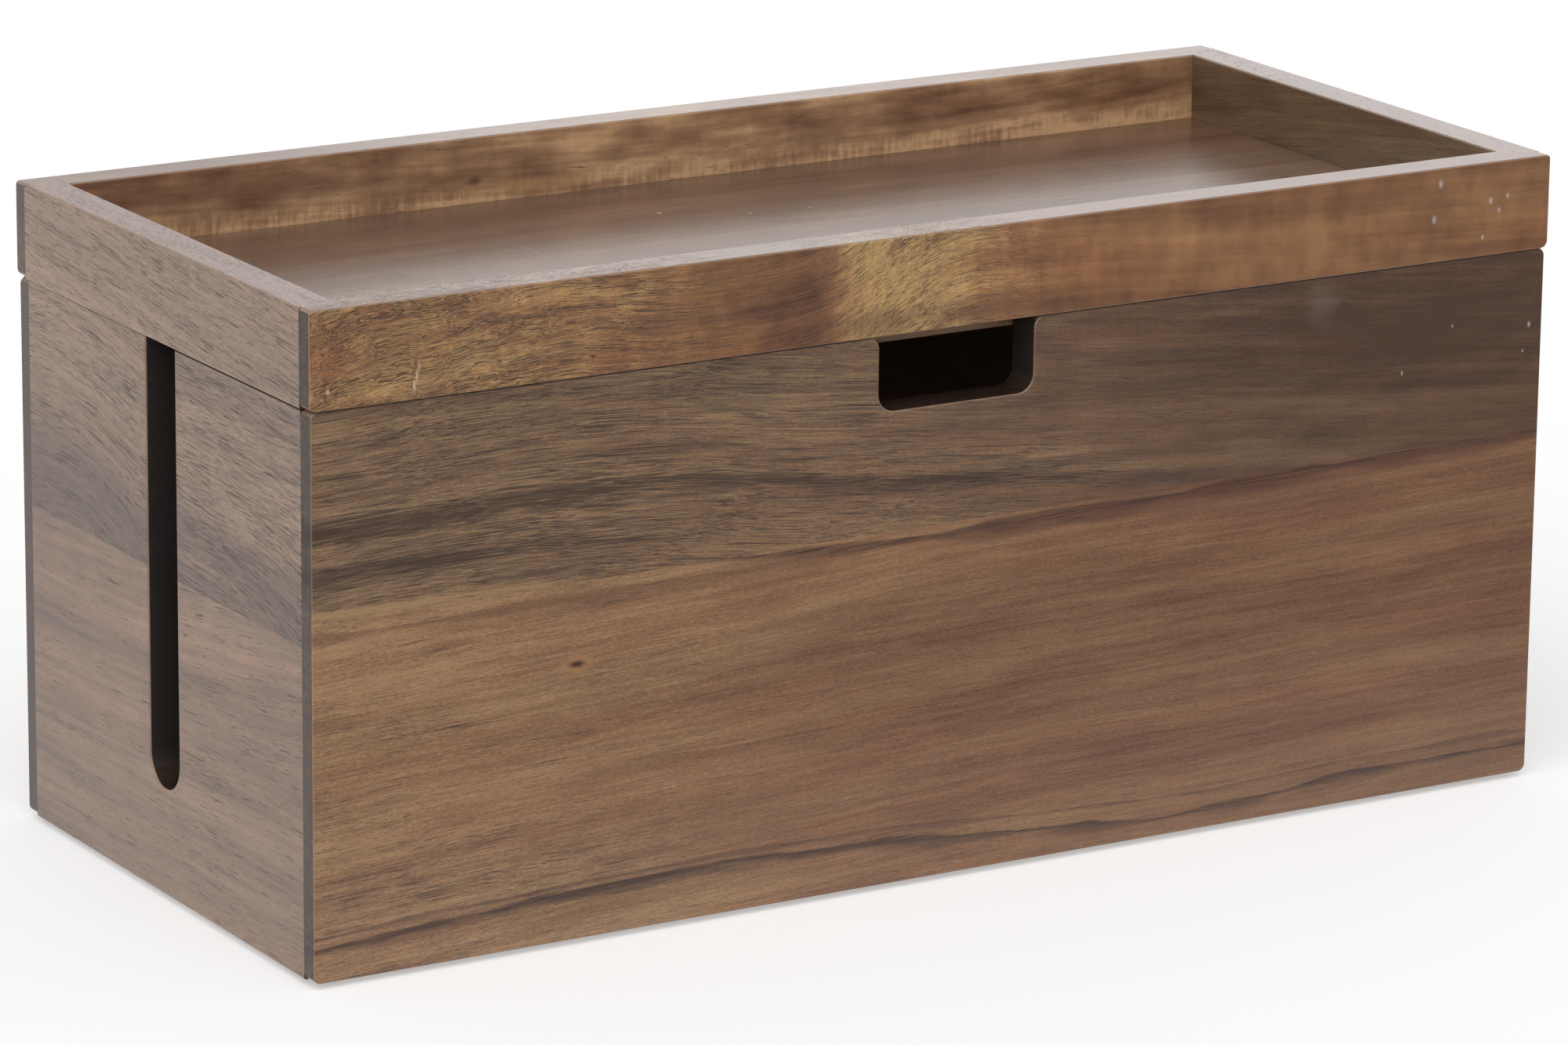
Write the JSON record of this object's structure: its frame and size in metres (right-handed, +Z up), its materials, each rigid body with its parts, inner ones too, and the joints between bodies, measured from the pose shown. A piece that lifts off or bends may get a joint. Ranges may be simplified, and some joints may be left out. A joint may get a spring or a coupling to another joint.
{
  "type": "cable management box",
  "caption": "Rabbeted wooden box with end slots for cables and a finger notch, closed by a lift-off lid that is a shallow tray.",
  "frame": {"origin": "on the surface that the box stands on, under the middle of the box", "axes": "+X along the box to the right, +Y from the front, which has the finger notch, to the back, +Z up"},
  "size_m": [0.351, 0.156, 0.1635],
  "materials": {
    "acacia_box": "walnut stained acacia, satin lacquer",
    "acacia_lid": "walnut stained acacia, satin lacquer",
    "pad_rubber": "matt"
  },
  "bodies": {
    "box": {"front_lower_board": "acacia_box", "front_upper_board": "acacia_box", "back_lower_board": "acacia_box", "back_upper_board": "acacia_box", "left_end_lower_board": "acacia_box", "left_end_upper_front_board": "acacia_box", "left_end_upper_back_board": "acacia_box", "right_end_lower_board": "acacia_box", "right_end_upper_front_board": "acacia_box", "right_end_upper_back_board": "acacia_box", "bottom_panel": "acacia_box", "foot_pads": "pad_rubber"},
    "lid": {"lid_front_rail": "acacia_lid", "lid_back_rail": "acacia_lid", "lid_left_rail": "acacia_lid", "lid_right_rail": "acacia_lid", "tray_floor": "acacia_lid", "lid_front_batten": "acacia_lid", "lid_back_batten": "acacia_lid"}
  },
  "joints": [
    {"name": "lid_lift", "type": "slide", "parent": "box", "child": "lid", "axis": [0, 0, 1], "range_m": [0, 0.15]}
  ]
}
